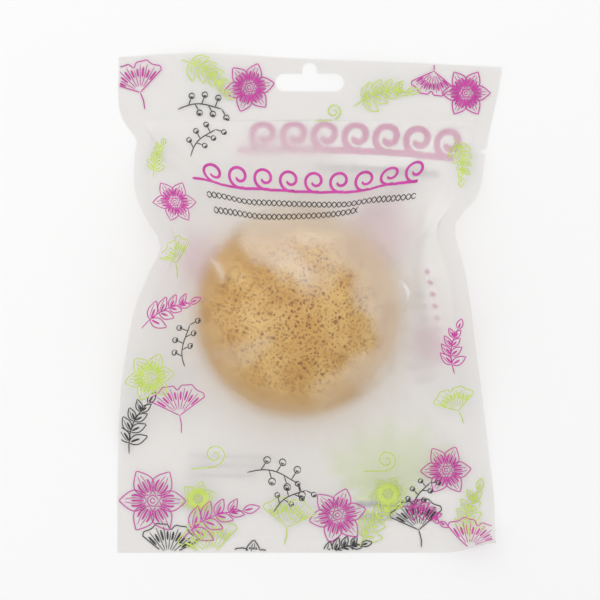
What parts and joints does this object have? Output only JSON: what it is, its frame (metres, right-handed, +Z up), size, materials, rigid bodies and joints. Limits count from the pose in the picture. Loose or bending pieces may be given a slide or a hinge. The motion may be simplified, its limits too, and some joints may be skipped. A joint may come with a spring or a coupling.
{
  "type": "konjac sponge in hang-sell pouch",
  "caption": "Dry half-ball facial cleansing sponge of konjac fibre, loose in a flat heat-sealed pouch of frosted film with a hang slot and a tear notch.",
  "frame": {"origin": "on the resting plane, under the middle of the pouch's bounding box", "axes": "+X to the right as the printed front is read, +Y along the pouch towards its header and hang slot, +Z up out of the printed front"},
  "size_m": [0.14, 0.182, 0.0305],
  "materials": {
    "konjac_fibre": "matt tan foam of dried plant fibre with fine round pores",
    "front_film": "frosted translucent film, lightly creased",
    "back_film": "frosted translucent film",
    "seal_film": "two layers of frosted film welded flat"
  },
  "bodies": {
    "pouch": {"front_film": "front_film", "back_film": "back_film", "header_seal": "seal_film", "bottom_seal": "seal_film", "left_seal": "seal_film", "right_seal": "seal_film"},
    "sponge": {"sponge": "konjac_fibre"}
  },
  "joints": [
    {"name": "sponge_shift", "type": "slide", "parent": "pouch", "child": "sponge", "axis": [0, 1, 0], "range_m": [-0.004, 0.004]}
  ]
}
